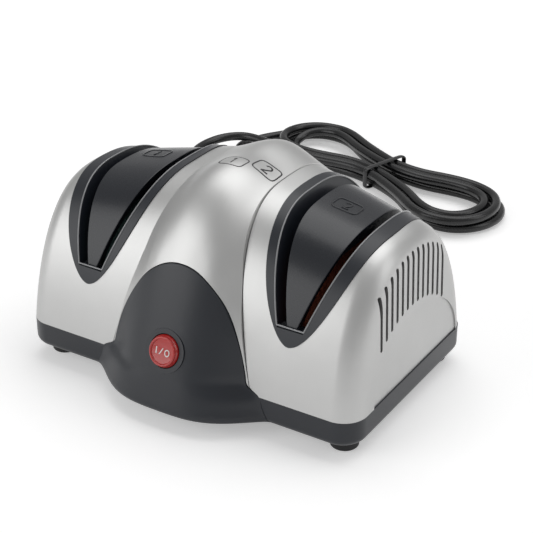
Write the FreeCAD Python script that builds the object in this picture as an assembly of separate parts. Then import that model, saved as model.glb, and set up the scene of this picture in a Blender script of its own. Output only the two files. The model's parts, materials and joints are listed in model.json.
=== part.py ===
"""Two-station electric knife sharpener: housing, guides, motor, wheels, switch and cord.

All lengths are in millimetres. +Z is up, -Y is the front, +X is the right-hand station.
The origin lies on the floor under the middle of the body.
"""
import FreeCAD, Part
import math
import os

V = FreeCAD.Vector
os.makedirs("parts", exist_ok=True)

# Overall body
SIDE_X = 106.0            # half width at the seam
SIDE_DRAFT = 0.037        # how much the side leans in for each mm of height
SEAM_Z = 23.2             # silver shells start here
TRAY_Z = 8.0              # underside of the base
CORNER_R = 14.0           # soft edge round each end of the body
WALL = 2.4                # wall of every moulded cover
SEAM_GAP = 0.3            # line between two covers

# Side view of the lobes: a superellipse about a low centre
LOBE_X = 63.5             # centre line of a station
FRONT_Y = -56.3
REAR_Y = 78.4
CENTRE_Z = -26.2
PEAK_Z = 107.8            # top of the lobe on the station's centre line
PEAK_FALL = 0.156         # fall of the top per mm outward
PEAK_Y = 10.8             # where the top lies, front to back
PEAK_SHIFT = 0.128        # forward shift of the top per mm outward
ROUNDNESS = 2.5           # exponent of the front half
REAR_ROUNDNESS = 3.03     # exponent of the rear half, on the station's centre line
REAR_SLACK = 0.0138       # exponent lost per mm outward

# Centre cover, crowned over the motor
CREASE_X = 50.5           # half width that the crease plane has at the floor
CREASE_LEAN = 0.24        # half width lost per mm of height
CROWN_TOP = 0.026         # extra size of the crown at the top
CROWN_FRONT = 0.100       # extra size of the crown added at the front

# Front bulge of the base
BULGE_TOP_Z = 84.5
ARCH_HALF = 42.5
ARCH_POWER = 1.6
BULGE_Y_LOW = -76.5       # front of the bulge near the floor
BULGE_LEAN = 0.294
BULGE_CURVE = 0.000916

# Knife stations
POD_HALF = 30.0           # half width of the dark surround at the top
POD_LOW_Z = 54.4          # lower tip of the surround
POD_POWER = 0.57
POD_PROUD = 0.6           # surround stands proud of the shell
POD_DEEP = 5.0            # depth of the surround ring below the shell's skin
SADDLE_Z = 64.0           # height of the slot's floor
SADDLE_HALF = 3.2         # half width of the guide at the slot's floor
SLOT_LEAN = 0.30          # sideways lean of the guide's flanks per mm of height
LIP_LEAN = 0.34           # and of the slots' outer walls
SLOT_WIDE = 4.7           # slot width at its floor, measured level
SADDLE_DROP = 0.8         # guide lies this far under the surround's face

# Shaft and grinding wheels
SHAFT_Y = 6.0
SHAFT_Z = 57.5
SHAFT_R = 3.0
RUN_GAP = 0.05            # radial running clearance on the shaft
WHEEL_R = 43.0
WHEEL_THICK = 2.6
WHEEL_SPACE = 2.9         # free space between the two discs of a station
WHEEL_HUB_R = 9.0
GRIT_IN_R = 21.0
GRIT_THICK = 0.6
SPRING_R = 6.2
SPRING_WIRE = 0.5
SPRING_TURNS = 2
CLIP_THICK = 1.0
CLIP_R = 5.1

# Motor
MOTOR_R = 27.0
MOTOR_HALF = 30.0
CAN_WALL = 1.6
CAP_THICK = 4.0
MAGNET_THICK = 5.0
AIR_GAP = 0.6
CORE_HALF = 15.0
CORE_R = MOTOR_R - CAN_WALL - MAGNET_THICK - AIR_GAP
BEARING_R = 6.0
BEARING_LONG = 7.0
FAN_R = 20.0

# Power button and switch
BUTTON_Z = 41.4
BUTTON_R = 8.9
BUTTON_PROUD = 3.0
BUTTON_TRAVEL = 2.5
BUTTON_GAP = 0.4
COLLAR_R = 12.0
SWITCH_WIDE = 20.0
SWITCH_DEEP = 16.0

# Feet and screws
FOOT_X = 92.0
FOOT_Y = 50.8
FOOT_SHIFT = 13.5         # the feet sit about the lobes' middle, not the bulge's
FOOT_R = 7.7
SCREW_R = 1.6

# Cord
CORD_D = 6.4
EXIT_X = -46.0
EXIT_Z = 17.0
RELIEF_LONG = 34.0
FLOOR_LIFT = 1.0          # the hank lies this much above the floor, on its tie
HANK_AT = (-44.0, 263.0)  # middle of the hank
HANK_TURN = -18.4         # direction of the hank's length, in degrees from +X
HANK_HALF = 105.0
HANK_WIDE = 47.5          # mean half width of its loops
HANK_SKEW = 2.0           # right-hand loop is wider by this, the left-hand one narrower
HANK_PINCH = 0.54         # share of the width that the tie draws in
HANK_PINCH_LONG = 50.0
HANK_TURNS = 3.875        # one less than the turns of a whole fourth loop by the tail's share
HANK_LAYER = 2.0          # turns in the lower layer
HANK_SQUARE = 0.035       # share of the third wave, which squares the ends
HANK_SLIP = -4.0          # the upper layer's ends lie this much to one side
HANK_STEP = 7.2           # distance between neighbouring turns and layers
TIE_THICK = 0.9
TIE_WIDE = 4.0
PLUG_LONG = 34.0
PLUG_WIDE = 26.0
PLUG_HIGH = 17.0


MIDDLE_Y = 1.875          # the body's middle lies this far behind the lobes' datum


def box(x0, x1, y0, y1, z0, z1):
    """Solid box between two corners."""
    return Part.makeBox(x1 - x0, y1 - y0, z1 - z0, V(x0, y0, z0))


def rod(r, x0, x1, y=SHAFT_Y, z=SHAFT_Z):
    """Solid cylinder along X."""
    return Part.makeCylinder(r, x1 - x0, V(x0, y, z), V(1, 0, 0))


def tube(r_out, r_in, x0, x1, y=SHAFT_Y, z=SHAFT_Z):
    """Hollow cylinder along X."""
    return rod(r_out, x0, x1, y, z).cut(rod(r_in, x0 - 1, x1 + 1, y, z))


def post(r, x, y, z0, z1):
    """Solid cylinder along Z."""
    return Part.makeCylinder(r, z1 - z0, V(x, y, z0))


def mirror_x(shape):
    """The same solid on the other side of the centre plane."""
    return shape.mirror(V(0, 0, 0), V(1, 0, 0))


def prism_y(points, y0, y1):
    """Solid whose outline in XZ is a closed polygon or curve, carried along Y."""
    wire = Part.makePolygon([V(x, y0, z) for x, z in points + points[:1]])
    return Part.Face(wire).extrude(V(0, y1 - y0, 0))


def save(name, shape):
    """Write one named node, moved so that the body's middle is at the origin."""
    shape.translated(V(0, -MIDDLE_Y, 0)).exportStep("parts/" + name + ".step")


# Lobes
def lobe(x, phi, inset=0.0):
    """Point of the lobe's skin in the plane x: phi runs from the front (0) over the top to the rear (pi)."""
    out = abs(x) - LOBE_X
    yc = PEAK_Y - PEAK_SHIFT * out
    top = PEAK_Z - PEAK_FALL * out - inset
    front = phi < math.pi / 2
    edge = FRONT_Y + inset if front else REAR_Y - inset
    power = 2 / (ROUNDNESS if front else REAR_ROUNDNESS - REAR_SLACK * out)
    y = yc + (edge - yc) * abs(math.cos(phi)) ** power
    z = CENTRE_Z + (top - CENTRE_Z) * math.sin(phi) ** power
    return V(x, y, z)


def crowned(x, phi, inset=0.0):
    """Point of the centre cover's skin: the lobe's point moved out from the low centre."""
    p = lobe(x, phi, inset)
    yc = PEAK_Y - PEAK_SHIFT * (abs(x) - LOBE_X)
    half = CREASE_X - CREASE_LEAN * p.z
    across = max(0.0, 1 - abs(x / half) ** 3)
    front = max(0.0, (yc - p.y) / (yc - FRONT_Y))
    grow = 1 + (CROWN_TOP + CROWN_FRONT * front) * across
    return V(x, yc + (p.y - yc) * grow, CENTRE_Z + (p.z - CENTRE_Z) * grow)


def profile_wire(skin, x, inset):
    """Closed wire of one side-view section."""
    count = 26
    low = math.radians(7)
    pts = [skin(x, low + (math.pi - 2 * low) * i / count, inset) for i in range(count + 1)]
    curve = Part.BSplineCurve()
    curve.interpolate(pts)
    return Part.Wire([curve.toShape(), Part.LineSegment(pts[-1], pts[0]).toShape()])


def lofted(skin, stations, inset=0.0):
    """Solid through several side-view sections."""
    return Part.makeLoft([profile_wire(skin, x, inset) for x in stations], True, False)


def side_cut(inset=0.0):
    """Solid that removes everything outside the drafted right side."""
    x0 = SIDE_X - inset + SIDE_DRAFT * (SEAM_Z + 40)
    x1 = SIDE_X - inset - SIDE_DRAFT * (150 - SEAM_Z)
    return prism_y([(x0, -40), (x1, 150), (170, 150), (170, -40)], -120, 140)


def lobe_block(inset=0.0):
    """Right lobe as a solid, with its end rounded all round."""
    body = lofted(lobe, [10, 40, 70, 100, 120], inset).cut(side_cut(inset))
    rim = []
    for edge in body.Edges:
        b = edge.BoundBox
        if b.XMin > 95 and b.ZMax > 60 and b.YLength > 60:
            rim.append(edge)
    return body.makeFillet(CORNER_R - inset, rim)


def crease_half(shift):
    """Solid outside the right-hand crease plane, moved by shift."""
    low = CREASE_X + CREASE_LEAN * 60 + shift
    high = CREASE_X - CREASE_LEAN * 160 + shift
    return prism_y([(low, -60), (high, 160), (190, 160), (190, -60)], -130, 150)


def arch_half(z):
    """Half width of the bulge's outline at height z, flared towards the seam."""
    r = min(1.0, max(0.0, (z - SEAM_Z) / (BULGE_TOP_Z - SEAM_Z)))
    half = ARCH_HALF * math.sqrt(1 - r ** ARCH_POWER)
    half += 7 * (max(0.0, 35 - z) / 25) ** 2
    half += 6 * (min(7.0, max(0.0, 30 - z)) / 7) ** 3
    return half


def arch_prism(grow, y0, y1):
    """Bulge outline as a solid along Y, grown sideways and upwards."""
    zs = [TRAY_Z + (BULGE_TOP_Z - TRAY_Z) * math.sin(math.pi / 2 * i / 24) for i in range(25)]
    right = [V(arch_half(z) + grow, y0, z + grow * (z - TRAY_Z) / (BULGE_TOP_Z - TRAY_Z)) for z in zs]
    right[-1] = V(0, y0, BULGE_TOP_Z + grow)
    left = [V(-p.x, y0, p.z) for p in reversed(right[:-1])]
    curve = Part.BSplineCurve()
    curve.interpolate(right + left)
    base = Part.LineSegment(left[-1], right[0]).toShape()
    return Part.Face(Part.Wire([curve.toShape(), base])).extrude(V(0, y1 - y0, 0))


# Pod-shaped outline of a station, carried over the lobe's skin
def arc_table():
    """Lengths along the lobe's centre line from its lower front tip to its lower rear tip."""
    phis, lengths, total = [], [], 0.0
    rise = (POD_LOW_Z - CENTRE_Z) / (PEAK_Z - CENTRE_Z)
    low = math.asin(rise ** (ROUNDNESS / 2))
    high = math.pi - math.asin(rise ** (REAR_ROUNDNESS / 2))
    count = 240
    last = None
    for i in range(count + 1):
        phi = low + (high - low) * i / count
        p = lobe(LOBE_X, phi)
        total += (p - last).Length if last else 0.0
        last = p
        phis.append(phi)
        lengths.append(total)
    return phis, lengths


PHIS, LENGTHS = arc_table()


def phi_at(share):
    """Angle at a share of the pod's length."""
    goal = share * LENGTHS[-1]
    for i in range(1, len(PHIS)):
        if LENGTHS[i] >= goal:
            t = (goal - LENGTHS[i - 1]) / (LENGTHS[i] - LENGTHS[i - 1])
            return PHIS[i - 1] + t * (PHIS[i] - PHIS[i - 1])
    return PHIS[-1]


def pod_point(side, share, depth, grow):
    """Point on the pod: side -1 to 1 across, share 0 to 1 along, depth below the skin."""
    half = POD_HALF * math.sin(math.pi * min(max(share, 0.0), 1.0)) ** POD_POWER + grow
    x = LOBE_X + side * half
    phi = phi_at(share)
    p = lobe(x, phi)
    a = lobe(x, phi - 0.01)
    b = lobe(x, phi + 0.01)
    along = (b - a).normalize()
    normal = V(0, -along.z, along.y)
    return p - normal * depth


def pod_block(grow, top, bottom):
    """Solid under the pod outline between two depths."""
    shares = [0.5 - 0.5 * math.cos(math.pi * (i + 0.35) / 24.7) for i in range(25)]
    sides = [-1, -0.5, 0, 0.5, 1]
    grids = []
    for depth in (top, bottom):
        surface = Part.BSplineSurface()
        surface.interpolate([[pod_point(a, s, depth, grow) for s in shares] for a in sides])
        grids.append(surface)
    faces = [g.toShape() for g in grids]
    for pick in range(4):
        ends = []
        for g in grids:
            u0, u1, v0, v1 = g.bounds()
            curve = [g.uIso(u0), g.uIso(u1), g.vIso(v0), g.vIso(v1)][pick]
            ends.append(curve.toShape())
        faces.append(Part.makeRuledSurface(ends[0], ends[1]))
    shell = Part.makeShell(faces)
    shell.sewShape()
    solid = Part.makeSolid(shell)
    if solid.Volume < 0:
        solid.reverse()
    return solid


def wedge(half, z0, z1, lean=SLOT_LEAN):
    """Solid between two leaning planes of a station, half wide at the slot's floor."""
    low = half - lean * (SADDLE_Z - z0)
    high = half + lean * (z1 - SADDLE_Z)
    corners = [(LOBE_X - low, z0), (LOBE_X + low, z0), (LOBE_X + high, z1), (LOBE_X - high, z1)]
    return prism_y(corners, -90, 110)


print("lobe blocks")
outer = lobe_block()
inner = lobe_block(WALL)
above_seam = box(-150, 150, -130, 150, SEAM_Z, 200)
shell = outer.cut(inner).common(above_seam).common(crease_half(SEAM_GAP / 2))
arch_gap = arch_prism(SEAM_GAP, -130, PEAK_Y)
shell = shell.cut(arch_gap)
print("pod")
pod_hole = pod_block(SEAM_GAP / 2, -8.0, 14.0)
shell = shell.cut(pod_hole)

# Cooling slots in the side, in an arch
VENT_COUNT = 13
VENT_PITCH = 5.75
VENT_WIDE = 2.4
VENT_TALL = 31.0
VENT_TOP = 94.7
VENT_ARCH = 11.0
VENT_Y = 9.7
vents = []
for i in range(VENT_COUNT):
    k = (i - (VENT_COUNT - 1) / 2) / ((VENT_COUNT - 1) / 2)
    y = VENT_Y + k * VENT_PITCH * (VENT_COUNT - 1) / 2
    high = VENT_TOP - VENT_ARCH * abs(k) ** 2.2 - VENT_WIDE / 2
    low = high - VENT_TALL + VENT_WIDE
    cutter = box(90, 130, y - VENT_WIDE / 2, y + VENT_WIDE / 2, low, high)
    cutter = cutter.fuse(rod(VENT_WIDE / 2, 90, 130, y, low)).fuse(rod(VENT_WIDE / 2, 90, 130, y, high))
    vents.append(cutter)
shell = shell.cut(Part.makeCompound(vents))

# Shallow arched panel low on the side
PANEL_Y = 15.5
PANEL_HALF = 48.0
PANEL_RISE = 36.0
PANEL_DEEP = 0.8


def side_panel():
    """Half ellipse on the side, cut a little way into the wall."""
    curve = Part.Ellipse(V(0, 0, 0), PANEL_HALF, PANEL_RISE)
    disc = Part.Face(Part.Wire(curve.toShape())).extrude(V(0, 0, 60))
    disc.rotate(V(0, 0, 0), V(1, 1, 1), 120)
    disc.translate(V(SIDE_X - 30, PANEL_Y, SEAM_Z))
    return disc.common(side_cut(PANEL_DEEP))


# Screw bosses shared by the shells, the cover, the base and the screws
SIDE_SCREWS = [(SIDE_X - 7.0, -26.0), (SIDE_X - 7.0, 58.0)]
REAR_SCREWS = [(22.0, REAR_Y - 8.6)]
BOSS_R = 4.5
BOSS_TOP = SEAM_Z + 16.0


def bosses(places, block):
    """Screw posts that hang inside a cover, trimmed to its outer skin."""
    posts = [post(BOSS_R, x, y, SEAM_Z, BOSS_TOP).cut(post(SCREW_R, x, y, SEAM_Z - 1, BOSS_TOP - 3))
             for x, y in places]
    return Part.makeCompound(posts).common(block)


shell = shell.cut(side_panel())
shell = shell.fuse(bosses(SIDE_SCREWS, lobe_block(WALL / 2))).removeSplitter()
for x, y in SIDE_SCREWS:
    shell = shell.cut(post(SCREW_R, x, y, SEAM_Z - 1, BOSS_TOP - 3))
print("shell", round(shell.Volume), shell.isValid(), len(shell.Solids))
save("right_shell", shell)
save("left_shell", mirror_x(shell))

# Centre cover
COVER_STATIONS = [-52, -42, -32, -22, -11, 0, 11, 22, 32, 42, 52]
both_sides = crease_half(-SEAM_GAP / 2).fuse(mirror_x(crease_half(-SEAM_GAP / 2)))
cover_block = lofted(crowned, COVER_STATIONS)
cover = cover_block.cut(lofted(crowned, COVER_STATIONS, WALL)).cut(both_sides)
cover = cover.common(above_seam).cut(arch_gap)
cover = cover.fuse(bosses([(x * s, y) for x, y in REAR_SCREWS for s in (-1, 1)],
                          lofted(crowned, COVER_STATIONS, WALL / 2)))
for x, y in REAR_SCREWS:
    for s in (-1, 1):
        cover = cover.cut(post(SCREW_R, s * x, y, SEAM_Z - 1, BOSS_TOP - 3))
cover = max(cover.Solids, key=lambda s: s.Volume)
print("cover", round(cover.Volume), cover.isValid())
save("centre_cover", cover)


# Base: a tray with the front bulge, in one moulding
def skin_y(x, z):
    """Front y of the cover's skin at x and height z."""
    low, high = 0.05, math.pi / 2
    for _ in range(40):
        mid = (low + high) / 2
        if crowned(x, mid).z < z:
            low = mid
        else:
            high = mid
    return crowned(x, low).y


def bulge_centre(z):
    """Front y of the bulge on the centre plane."""
    rise = max(0.0, z - 10)
    return BULGE_Y_LOW + BULGE_LEAN * rise + BULGE_CURVE * rise * rise


def bulge_point(s, z, inset):
    """Point of the bulge: s runs across its width from -1 to 1."""
    x = s * (arch_half(z) + 8)
    lift = (z - TRAY_Z) / (BULGE_TOP_Z - TRAY_Z)
    t = min(1.0, max(0.0, (z - SEAM_Z) / 30))
    reach = min(1.0, abs(x) / (arch_half(z) + 1))
    swell = (1 - reach ** (3.2 - t)) ** (1.7 - 0.7 * t)
    edge = skin_y(min(arch_half(z), 56.0), max(z, SEAM_Z))
    under = min(TRAY_EDGE_R, max(0.0, TRAY_Z + TRAY_EDGE_R - z))
    rounding = TRAY_EDGE_R - math.sqrt(TRAY_EDGE_R ** 2 - under ** 2)
    return V(x, edge - (edge - bulge_centre(z)) * swell + inset + rounding, z + lift)


def bulge_front(inset):
    """Solid of everything in front of the bulge's skin."""
    count = 26
    zs = [TRAY_Z - 1 + (BULGE_TOP_Z - TRAY_Z + 1) * (1 - math.cos(math.pi * i / count)) / 2
          for i in range(count + 1)]
    ss = [i / 14 for i in range(-14, 15)]
    surface = Part.BSplineSurface()
    surface.interpolate([[bulge_point(s, z, inset) for z in zs] for s in ss])
    return surface.toShape().extrude(V(0, -80, 0))


SEAM_RISE = (SEAM_Z - CENTRE_Z) / (PEAK_Z - CENTRE_Z)
FRONT_FACE = lobe(LOBE_X, math.asin(SEAM_RISE ** (ROUNDNESS / 2))).y
REAR_FACE = lobe(LOBE_X, math.pi - math.asin(SEAM_RISE ** (REAR_ROUNDNESS / 2))).y


def tray(inset, z0, z1):
    """Rounded tray outline as a solid, inset from the outer wall."""
    x = SIDE_X - inset
    front = FRONT_FACE + inset
    rear = REAR_FACE - inset
    block = box(-x, x, front, rear, z0, z1)
    upright = [e for e in block.Edges if e.BoundBox.ZLength > 1]
    return block.makeFillet(CORNER_R - inset, upright)


BULGE_BACK_Y = -44.0
TRAY_EDGE_R = 4.5
print("base")
tray_out = tray(0, TRAY_Z, SEAM_Z)
tray_out = tray_out.makeFillet(TRAY_EDGE_R, [e for e in tray_out.Edges if e.BoundBox.ZMax < TRAY_Z + 0.01])
bulge = arch_prism(0, -110, BULGE_BACK_Y).cut(bulge_front(0))
hollow = arch_prism(-WALL, -110, BULGE_BACK_Y + 1).cut(bulge_front(WALL)).cut(box(-90, 90, -120, 0, -5,
                                                                                  TRAY_Z + WALL))
hollow = hollow.fuse(tray(WALL, TRAY_Z + WALL, SEAM_Z + 1))
base = tray_out.fuse(bulge).cut(hollow)

# Switch axis: square to the bulge where the button sits
slope = BULGE_LEAN + 2 * BULGE_CURVE * (BUTTON_Z - 10)
tilt = math.atan(slope)
OUT = V(0, -math.cos(tilt), math.sin(tilt))
BUTTON_AT = V(0, bulge_centre(BUTTON_Z), BUTTON_Z)


def plunge(r, d0, d1):
    """Cylinder on the switch axis between two distances from the bulge's skin, outward positive."""
    return Part.makeCylinder(r, d1 - d0, BUTTON_AT + OUT * d0, OUT)


SEAT_DEPTH = 16.0
COLLAR_DEPTH = 1.5
seat_tube = plunge(COLLAR_R + 1.5, -SEAT_DEPTH, -WALL + 0.4)
base = base.fuse(seat_tube.cut(bulge_front(1.0)))
base = base.cut(plunge(BUTTON_R + 2.4, -SEAT_DEPTH - 1, -WALL - 1.4))
base = base.cut(plunge(BUTTON_R + BUTTON_GAP, -30, 10)).cut(plunge(COLLAR_R + 0.1, -COLLAR_DEPTH, 12))

# Posts, feet holes and the cord hole in the base
CRADLE_HALF = 24.0
BOARD = (-22.0, 24.0, 38.4, 65.0)
BOARD_Z = 15.0
BOARD_THICK = 1.6
SCREW_PLACES = [(x * s, y) for x, y in SIDE_SCREWS + REAR_SCREWS for s in (-1, 1)]
BOARD_SCREWS = [(x, y) for x in (BOARD[0] + 4, BOARD[1] - 4) for y in (BOARD[2] + 4, BOARD[3] - 4)]
FEET = [(sx * FOOT_X, sy * FOOT_Y + FOOT_SHIFT) for sx in (-1, 1) for sy in (-1, 1)]
RELIEF_R = 5.6
RELIEF_NECK = 4.6
for x, y in SCREW_PLACES:
    base = base.fuse(post(BOSS_R, x, y, TRAY_Z + 1, SEAM_Z - SEAM_GAP).common(tray(WALL / 2, TRAY_Z + 0.5,
                                                                                   SEAM_Z)))
for x, y in BOARD_SCREWS:
    base = base.fuse(post(3.2, x, y, TRAY_Z + 1, BOARD_Z))
for x, y in SCREW_PLACES:
    base = base.cut(post(SCREW_R, x, y, TRAY_Z - 1, SEAM_Z + 1)).cut(post(3.0, x, y, TRAY_Z - 1,
                                                                          TRAY_Z + 2.4))
for x, y in BOARD_SCREWS:
    base = base.cut(post(1.2, x, y, TRAY_Z + 3, SEAM_Z))
for x, y in FEET:
    base = base.cut(post(2.5, x, y, TRAY_Z - 1, TRAY_Z + WALL + 1))
base = base.cut(Part.makeCylinder(RELIEF_NECK, 20, V(EXIT_X, REAR_FACE - 10, EXIT_Z), V(0, 1, 0)))
base = max(base.Solids, key=lambda s: s.Volume)
print("base", round(base.Volume), base.isValid())
save("base_housing", base)

# Knife stations: surround with slot liners, and the guide between the slots
LIP_HALF = SADDLE_HALF + SLOT_WIDE
LINER = 1.8
FLOOR_THICK = 3.0
WINDOW_TOP = 96.0
slot_floor = SADDLE_Z - 1
skin_in = lofted(lobe, [20, 65, 105], POD_DEEP - 0.5)
ring = pod_block(0, -POD_PROUD, POD_DEEP + 1)
liner = wedge(LIP_HALF + LINER, slot_floor - FLOOR_THICK, 125, LIP_LEAN).common(skin_in)
surround = ring.fuse(liner).cut(wedge(LIP_HALF, slot_floor, 130, LIP_LEAN))
WHEEL_ROOM = 2.0
WINDOW_HALF = 13.0
wheel_room = rod(WHEEL_R + WHEEL_ROOM, LOBE_X - WINDOW_HALF, LOBE_X + WINDOW_HALF)
surround = surround.cut(wheel_room.common(box(0, 150, -90, 110, 0, slot_floor + 0.01)))
surround = max(surround.Solids, key=lambda s: s.Volume)
print("surround", round(surround.Volume), surround.isValid())
save("right_surround", surround)
save("left_surround", mirror_x(surround))

guide = lofted(lobe, [20, 65, 105], SADDLE_DROP).common(wedge(SADDLE_HALF, slot_floor, 125))
guide_room = lofted(lobe, [20, 65, 105], SADDLE_DROP + WALL).common(wedge(SADDLE_HALF - 1.8, SADDLE_Z + 8,
                                                                          125))
guide_room = guide_room.cut(box(0, 150, -130, SHAFT_Y - WHEEL_R, 0, 200)).cut(box(0, 150, SHAFT_Y + WHEEL_R,
                                                                                  190, 0, 200))
window = rod(WHEEL_R + 1.2, LOBE_X - 30, LOBE_X + 30).cut(box(0, 150, -90, 110, WINDOW_TOP, 200))
guide = guide.cut(guide_room).cut(window)
guide = max(guide.Solids, key=lambda s: s.Volume)
print("guide", round(guide.Volume), guide.isValid(), len(guide.Solids))
save("right_guide", guide)
save("left_guide", mirror_x(guide))

# Button, collar, spring and switch
FLANGE_DEPTH = 4.4
FLANGE_THICK = 1.6
STEM_R = 3.0
cap = plunge(BUTTON_R, -FLANGE_DEPTH, BUTTON_PROUD)
rim = [e for e in cap.Edges if abs((e.CenterOfMass - BUTTON_AT).dot(OUT) - BUTTON_PROUD) < 0.01]
cap = cap.makeFillet(1.4, rim).cut(plunge(BUTTON_R - 2.2, BUTTON_PROUD - 0.6, BUTTON_PROUD + 1))
cap = cap.fuse(plunge(BUTTON_R + 1.6, -FLANGE_DEPTH - FLANGE_THICK, -FLANGE_DEPTH))
cap = cap.fuse(plunge(STEM_R, -SEAT_DEPTH - 2, -FLANGE_DEPTH - 1))
save("power_button", cap)
collar = plunge(COLLAR_R, -COLLAR_DEPTH, 0.2).cut(plunge(BUTTON_R + BUTTON_GAP, -5, 5))
save("button_collar", collar)


def route(points, r, name):
    """Round tube along straight runs joined by tangent arcs, with its least radius printed."""
    pts = [V(*p) for p in points]
    edges = []
    last = pts[0]
    least = 1e9
    for i in range(1, len(pts) - 1):
        a = (pts[i - 1] - pts[i])
        b = (pts[i + 1] - pts[i])
        run = min(a.Length, b.Length)
        a.normalize()
        b.normalize()
        half_turn = (math.pi - a.getAngle(b)) / 2
        cut = 0.45 * run
        radius = cut / math.tan(half_turn)
        least = min(least, radius)
        start, end = pts[i] + a * cut, pts[i] + b * cut
        bisector = (a + b).normalize()
        centre = pts[i] + bisector * (radius / math.cos(half_turn))
        middle = centre - bisector * radius
        edges.append(Part.LineSegment(last, start).toShape())
        edges.append(Part.Arc(start, middle, end).toShape())
        last = end
    edges.append(Part.LineSegment(last, pts[-1]).toShape())
    path = Part.Wire(edges)
    circle = Part.Circle(pts[0], pts[1] - pts[0], r)
    solid = path.makePipeShell([Part.Wire(circle.toShape())], True, False)
    share = solid.Volume / (math.pi * r * r * path.Length)
    print(name, "length", round(path.Length), "least radius", round(least, 1), "volume share",
          round(share, 4))
    return solid


def coil(radius, wire, turns, length, start, axis, name):
    """Open helical spring from start along axis, as one tube with twelve short arcs a turn."""
    spin = FreeCAD.Rotation(V(0, 0, 1), axis)
    points = []
    for i in range(12 * turns + 1):
        a = 2 * math.pi * i / 12
        points.append(tuple(start + spin.multVec(V(radius * math.cos(a), radius * math.sin(a),
                                                   length * i / (12 * turns)))))
    print(name, "gap", round(length / turns - 2 * wire, 2))
    return route(points, wire, name)


SWITCH_SPRING_R = 5.4
SWITCH_SPRING_WIRE = 0.45
spring_room = SEAT_DEPTH - FLANGE_DEPTH - FLANGE_THICK
spring_start = BUTTON_AT - OUT * (SEAT_DEPTH - SWITCH_SPRING_WIRE - 0.1)
save("button_spring", coil(SWITCH_SPRING_R, SWITCH_SPRING_WIRE, 5,
                           spring_room - 2 * SWITCH_SPRING_WIRE - 0.3,
                           spring_start, OUT, "button spring"))

half = SWITCH_WIDE / 2
switch = Part.makeBox(SWITCH_WIDE + 6, SWITCH_WIDE + 6, SWITCH_DEEP, V(-half - 3, -half - 3, 0))
switch_place = FreeCAD.Placement(BUTTON_AT - OUT * (SEAT_DEPTH + SWITCH_DEEP),
                                 FreeCAD.Rotation(V(0, 0, 1), OUT))
switch.Placement = switch_place
switch = switch.cut(plunge(STEM_R + 0.4, -SEAT_DEPTH - 2 - BUTTON_TRAVEL - 1.5, -SEAT_DEPTH + 1))
save("switch_body", switch)
tabs = []
for side in (-1, 1):
    tab = Part.makeBox(0.8, 6.3, 8, V(side * 6 - 0.4, -3.15, -8))
    tab.Placement = switch_place
    tabs.append(tab)
save("switch_terminals", Part.makeCompound(tabs))

# Motor: can, caps, magnets and bushings stand still
can = tube(MOTOR_R, MOTOR_R - CAN_WALL, -MOTOR_HALF, MOTOR_HALF)
save("motor_can", can)
BOSS_LONG = 5.0
HUB_R = BEARING_R + 3
for name, sign in (("right", 1), ("left", -1)):
    cap_solid = rod(MOTOR_R, MOTOR_HALF, MOTOR_HALF + CAP_THICK).fuse(rod(HUB_R, MOTOR_HALF,
                                                                          MOTOR_HALF + CAP_THICK +
                                                                          BOSS_LONG))
    cap_solid = cap_solid.cut(rod(BEARING_R, MOTOR_HALF - 1, MOTOR_HALF + 30))
    for i in range(6):
        a = math.radians(60 * i + 30)
        cap_solid = cap_solid.cut(rod(3.5, MOTOR_HALF - 1, MOTOR_HALF + 9, SHAFT_Y + 18 * math.cos(a),
                                      SHAFT_Z + 18 * math.sin(a)))
    save("motor_cap_" + name, cap_solid if sign > 0 else mirror_x(cap_solid))
arc = tube(MOTOR_R - CAN_WALL, CORE_R + AIR_GAP, -CORE_HALF - 3, CORE_HALF + 3)
arc = arc.cut(box(-40, 40, SHAFT_Y - 8, SHAFT_Y + 8, SHAFT_Z - 40, SHAFT_Z + 40))
save("motor_magnets", arc)
bush = tube(BEARING_R, SHAFT_R + RUN_GAP, MOTOR_HALF + CAP_THICK + BOSS_LONG - BEARING_LONG,
            MOTOR_HALF + CAP_THICK + BOSS_LONG)
save("motor_bushings", Part.makeCompound([bush, mirror_x(bush)]))

# Motor: what turns
BLOCK_X = 80.0
BLOCK_HALF = 4.0
SHAFT_HALF = BLOCK_X + BLOCK_HALF + 1
save("drive_shaft", rod(SHAFT_R, -SHAFT_HALF, SHAFT_HALF))
core = tube(CORE_R, SHAFT_R, -CORE_HALF, CORE_HALF)
SLOTS = 7
WIRE_R = 2.6
slot_r = CORE_R - 4.0
slots = []
for i in range(SLOTS):
    a = 2 * math.pi * i / SLOTS
    slots.append(rod(WIRE_R, -CORE_HALF - 1, CORE_HALF + 1, SHAFT_Y + slot_r * math.cos(a),
                     SHAFT_Z + slot_r * math.sin(a)))
core = core.cut(Part.makeCompound(slots))
save("armature_core", core)
END_TURN = 6.0
end_turn = tube(slot_r + WIRE_R + 0.6, 9.0, CORE_HALF, CORE_HALF + END_TURN)
wire = end_turn.fuse(mirror_x(end_turn))
for i in range(SLOTS):
    a = 2 * math.pi * i / SLOTS
    wire = wire.fuse(rod(WIRE_R, -CORE_HALF, CORE_HALF, SHAFT_Y + slot_r * math.cos(a),
                         SHAFT_Z + slot_r * math.sin(a)))
save("armature_windings", wire)
COMM_R = 8.0
COMM_X = CORE_HALF + 1.0
commutator = tube(COMM_R, SHAFT_R, COMM_X, MOTOR_HALF - 1.0)
save("commutator", commutator)
BRUSH_GAP = 0.3
BRUSH_X = CORE_HALF + END_TURN + 1.2
brushes = []
holders = []
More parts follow.
